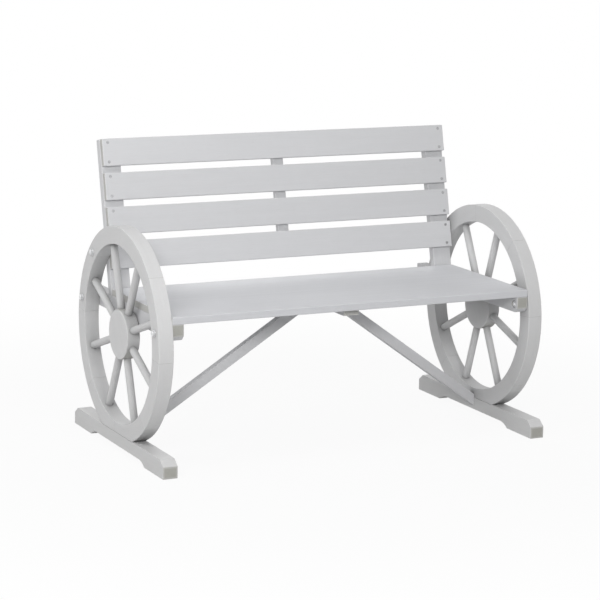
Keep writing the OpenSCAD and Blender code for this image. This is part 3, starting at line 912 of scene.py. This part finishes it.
def addNut(bm, place, top):
    s = boltSet
    bore, base, soft = s["wide"] / 2 + s["room"], top - s["nutHigh"], s["boreSoft"]
    outside = sixSided(bm, place, base, top, True)
    inside = turned(bm, [(bore + soft, top), (bore, top - soft), (bore, base + soft), (bore + soft, base)],
                    place, s["steps"])
    joinRings(bm, outside + [inside[0]])
    joinRings(bm, [inside[-1], outside[0]])


def makeBolts():
    thick = boltSet["washerThick"]
    bolts, washers, nuts = bmesh.new(), bmesh.new(), bmesh.new()
    for place, grip in boltPlaces():
        addBolt(bolts, place, grip)
        addWasher(washers, place, thick)
        addWasher(washers, place, -grip)
        addNut(nuts, place, -grip - thick)
    for bm in (bolts, washers, nuts):
        bmesh.ops.remove_doubles(bm, verts=bm.verts, dist=tiny)
    finishPiece("wheel_bolt_set", bolts, "bolt_steel", ["wheel_bolts"], smooth=28)
    finishPiece("wheel_washer_set", washers, "bolt_steel", ["wheel_bolt_washers"], smooth=50)
    finishPiece("wheel_nut_set", nuts, "bolt_steel", ["wheel_bolt_nuts"], smooth=28)


makeBolts()
print("bolts made")

# Floor, light and backdrop
stageSet = {
    "floorHalf": 40.0, "floorDrop": 0.0002,
    "floorColour": (0.64, 0.64, 0.64),
    "floorWhite": 0.93,                   # share of plain white that the camera sees under the bench
    "whiteFrom": 0.7, "whiteAt": 1.9,     # metres from the bench where the floor becomes plain white
    "worldGrey": (0.22, 0.22, 0.224),
    "lampAim": (0, 0, 0.4),
}


def seenDirectly(tree):                   # camera, mirror and glass rays
    path = tree.nodes.new("ShaderNodeLightPath")
    seen = maths(tree, "MAXIMUM", path.outputs["Is Camera Ray"], path.outputs["Is Glossy Ray"])
    return maths(tree, "MAXIMUM", seen, path.outputs["Is Transmission Ray"])


def makeFloor(s):
    bm = bmesh.new()
    h, z = s["floorHalf"], -s["floorDrop"]
    bm.faces.new([bm.verts.new(p) for p in ((-h, -h, z), (h, -h, z), (h, h, z), (-h, h, z))])
    mesh = bpy.data.meshes.new("floor")
    bm.to_mesh(mesh)
    bm.free()
    floor = bpy.data.objects.new("floor", mesh)
    bpy.context.scene.collection.objects.link(floor)
    mat = bpy.data.materials.new("floorPaper")
    mat.use_nodes = True
    tree = mat.node_tree
    tree.nodes.clear()
    paper = addNode(tree, "ShaderNodeBsdfDiffuse", {"Color": (*s["floorColour"], 1)})
    white = addNode(tree, "ShaderNodeEmission", {"Color": (1, 1, 1, 1), "Strength": 1.0})
    spot = addNode(tree, "ShaderNodeTexCoord").outputs["Object"]
    far = addNode(tree, "ShaderNodeVectorMath", {0: spot}, operation="LENGTH").outputs["Value"]
    share = ramp(tree, far, s["whiteFrom"], s["whiteAt"], s["floorWhite"], 1.0)
    share = maths(tree, "MULTIPLY", share, seenDirectly(tree))
    both = addNode(tree, "ShaderNodeMixShader", {0: share, 1: paper.outputs[0], 2: white.outputs[0]})
    under = addNode(tree, "ShaderNodeNewGeometry").outputs["Backfacing"]      # clear when seen from below
    clear = addNode(tree, "ShaderNodeBsdfTransparent").outputs[0]
    both = addNode(tree, "ShaderNodeMixShader", {0: under, 1: both.outputs[0], 2: clear})
    out = tree.nodes.new("ShaderNodeOutputMaterial")
    tree.links.new(both.outputs[0], out.inputs[0])
    mesh.materials.append(mat)


def makeWorld(s):
    world = bpy.data.worlds.new("studio")
    bpy.context.scene.world = world
    world.use_nodes = True
    tree = world.node_tree
    tree.nodes.clear()
    soft = addNode(tree, "ShaderNodeBackground", {"Color": (*s["worldGrey"], 1), "Strength": 1.0})
    white = addNode(tree, "ShaderNodeBackground", {"Color": (1, 1, 1, 1), "Strength": 1.0})
    both = addNode(tree, "ShaderNodeMixShader",
                   {0: seenDirectly(tree), 1: soft.outputs[0], 2: white.outputs[0]})
    out = tree.nodes.new("ShaderNodeOutputWorld")
    tree.links.new(both.outputs[0], out.inputs[0])


lampSet = {
    "front": {"place": (-0.5, -4.6, 2.2), "size": 1.0, "power": 56},
    "frontLeft": {"place": (-2.6, -3.8, 2.2), "size": 1.0, "power": 68},
    "left": {"place": (-2.2, -0.8, 2.2), "size": 1.0, "power": 16},
    "leftBack": {"place": (-3.4, 1.6, 1.8), "size": 1.4, "power": 28},
    "above": {"place": (-0.3, -0.5, 3.8), "size": 1.4, "power": 27},
    "back": {"place": (1.2, 4.2, 2.4), "size": 2.0, "power": 36},
    "right": {"place": (3.8, 0.9, 2.0), "size": 2.0, "power": 36},
}


def makeLamps(lamps, aim):
    for name, s in lamps.items():
        data = bpy.data.lights.new(name, "AREA")
        data.shape, data.size, data.energy = "SQUARE", s["size"], s["power"]
        lamp = bpy.data.objects.new(name + "Lamp", data)
        bpy.context.scene.collection.objects.link(lamp)
        place = Vector(s["place"])
        turn = (Vector(aim) - place).to_track_quat("-Z", "Y").to_matrix().to_4x4()
        lamp.matrix_world = Matrix.Translation(place) @ turn


makeFloor(stageSet)
makeWorld(stageSet)
makeLamps(lampSet, stageSet["lampAim"])
bpy.context.scene.view_settings.view_transform = "Standard"
print("floor and lamps set")

print("pieces made:", len(made))
